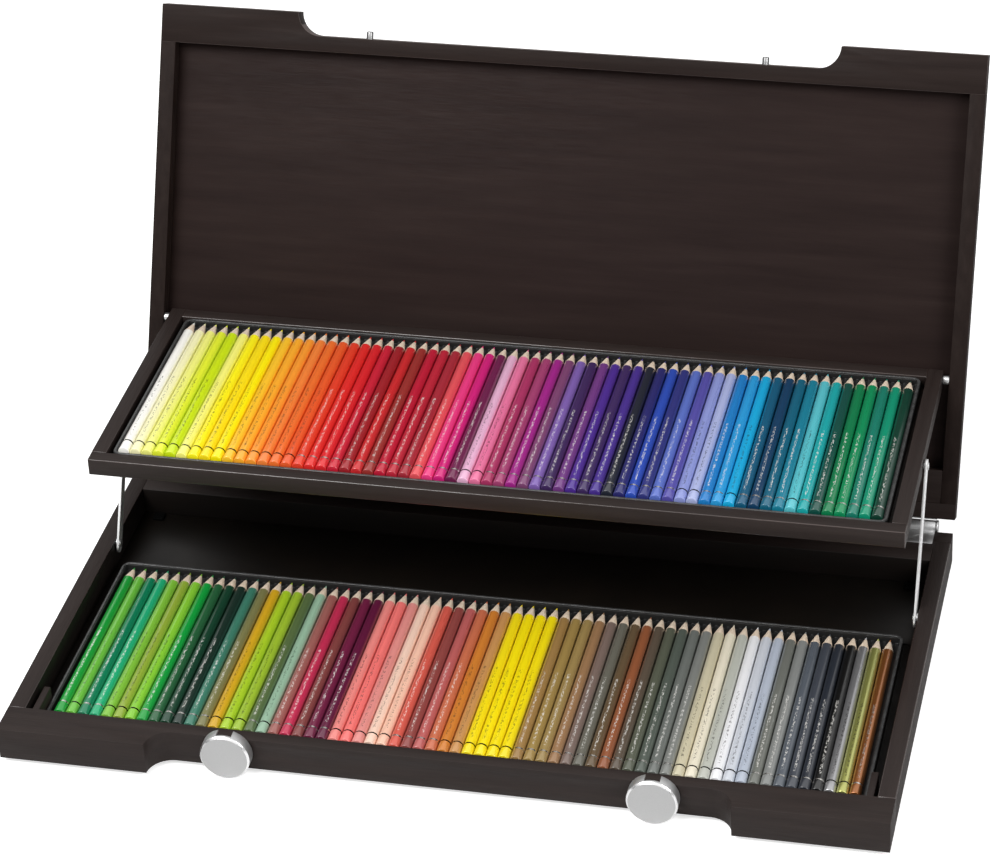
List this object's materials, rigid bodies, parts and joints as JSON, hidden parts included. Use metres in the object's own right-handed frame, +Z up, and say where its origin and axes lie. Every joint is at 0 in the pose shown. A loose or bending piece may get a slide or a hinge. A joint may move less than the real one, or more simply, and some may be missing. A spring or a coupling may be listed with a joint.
{
  "type": "two-tier wooden pencil case",
  "caption": "Wooden pencil case with a hinged lid that lifts an upper tray on parallel links over a lower tray, filled with pencils, two rotating latch cups.",
  "frame": {"origin": "centre of the bounding box of the open case, on the surface it rests on", "axes": "+X to the right seen from the front, +Y to the rear, towards the hinges, +Z up"},
  "size_m": [0.604, 0.4928, 0.3313],
  "materials": {
    "dark_wood": "satin open grain",
    "black_plastic": "matte",
    "black_rubber": "matte",
    "steel": "satin",
    "aluminium": "satin",
    "brass_bush": "satin",
    "pencil_leads": "matte",
    "pencil_yellow": "lacquered wood",
    "pencil_orange": "lacquered wood",
    "pencil_red": "lacquered wood",
    "pencil_pink": "lacquered wood",
    "pencil_violet": "lacquered wood",
    "pencil_blue": "lacquered wood",
    "pencil_turquoise": "lacquered wood",
    "pencil_green": "lacquered wood",
    "pencil_deep_green": "lacquered wood",
    "pencil_olive": "lacquered wood",
    "pencil_crimson": "lacquered wood",
    "pencil_flesh": "lacquered wood",
    "pencil_ochre": "lacquered wood",
    "pencil_brown": "lacquered wood",
    "pencil_grey": "lacquered wood",
    "pencil_metallic": "metallic lacquer on wood"
  },
  "bodies": {
    "base": {"base_front_wall": "dark_wood", "base_left_wall": "dark_wood", "base_right_wall": "dark_wood", "base_rear_wall": "dark_wood", "base_rear_filler": "dark_wood", "base_floor": "dark_wood", "floor_liner": "black_plastic", "corner_blocks": "dark_wood", "floor_pads": "black_rubber", "feet": "black_rubber", "base_hinge_leaves": "steel", "base_hinge_screws": "steel", "hinge_pins": "steel", "link_base_pins": "steel", "knob_bushes": "brass_bush", "lower_insert": "black_plastic", "lower_pencil_leads": "pencil_leads", "lower_pencils_green": "pencil_deep_green", "lower_pencils_olive": "pencil_olive", "lower_pencils_crimson": "pencil_crimson", "lower_pencils_flesh": "pencil_flesh", "lower_pencils_ochre": "pencil_ochre", "lower_pencils_brown": "pencil_brown", "lower_pencils_grey": "pencil_grey", "lower_pencils_metallic": "pencil_metallic"},
    "lid": {"lid_front_rail": "dark_wood", "lid_left_stile": "dark_wood", "lid_right_stile": "dark_wood", "lid_rear_rail": "dark_wood", "lid_rear_filler": "dark_wood", "lid_panel": "dark_wood", "lid_hinge_leaves": "steel", "lid_hinge_screws": "steel", "latch_pins": "steel", "tray_pivot_pins": "steel"},
    "tray": {"tray_front_rail": "dark_wood", "tray_rear_rail": "dark_wood", "tray_left_rail": "dark_wood", "tray_right_rail": "dark_wood", "tray_floor": "dark_wood", "link_tray_pins": "steel", "upper_insert": "black_plastic", "upper_pencil_leads": "pencil_leads", "upper_pencils_yellow": "pencil_yellow", "upper_pencils_orange": "pencil_orange", "upper_pencils_red": "pencil_red", "upper_pencils_pink": "pencil_pink", "upper_pencils_violet": "pencil_violet", "upper_pencils_blue": "pencil_blue", "upper_pencils_turquoise": "pencil_turquoise", "upper_pencils_green": "pencil_green"},
    "link_left": {"link_left": "steel"},
    "link_right": {"link_right": "steel"},
    "knob_left": {"knob_left": "aluminium", "knob_spindle_left": "steel"},
    "knob_right": {"knob_right": "aluminium", "knob_spindle_right": "steel"}
  },
  "joints": [
    {"name": "lid_hinge", "type": "hinge", "parent": "base", "child": "lid", "pos_m": [0, 0.08958, 0.028], "axis": [1, 0, 0], "range_deg": [0, 115.5]},
    {"name": "tray_pivot", "type": "hinge", "parent": "lid", "child": "tray", "pos_m": [0, 0.13813, 0.12166], "axis": [-1, 0, 0], "range_deg": [0, 115.5]},
    {"name": "link_left_pivot", "type": "hinge", "parent": "base", "child": "link_left", "pos_m": [-0.288, -0.01612, 0.024], "axis": [1, 0, 0], "range_deg": [0, 115.5]},
    {"name": "link_right_pivot", "type": "hinge", "parent": "base", "child": "link_right", "pos_m": [0.288, -0.01612, 0.024], "axis": [1, 0, 0], "range_deg": [0, 115.5]},
    {"name": "knob_left_turn", "type": "hinge", "parent": "base", "child": "knob_left", "pos_m": [-0.145, -0.23142, 0.0182], "axis": [0, 1, 0], "range_deg": [0, 90]},
    {"name": "knob_right_turn", "type": "hinge", "parent": "base", "child": "knob_right", "pos_m": [0.145, -0.23142, 0.0182], "axis": [0, 1, 0], "range_deg": [0, 90]}
  ],
  "couplings": [
    {"joint": "tray_pivot", "follows": "lid_hinge", "ratio": 1},
    {"joint": "link_left_pivot", "follows": "lid_hinge", "ratio": 1},
    {"joint": "link_right_pivot", "follows": "lid_hinge", "ratio": 1}
  ]
}
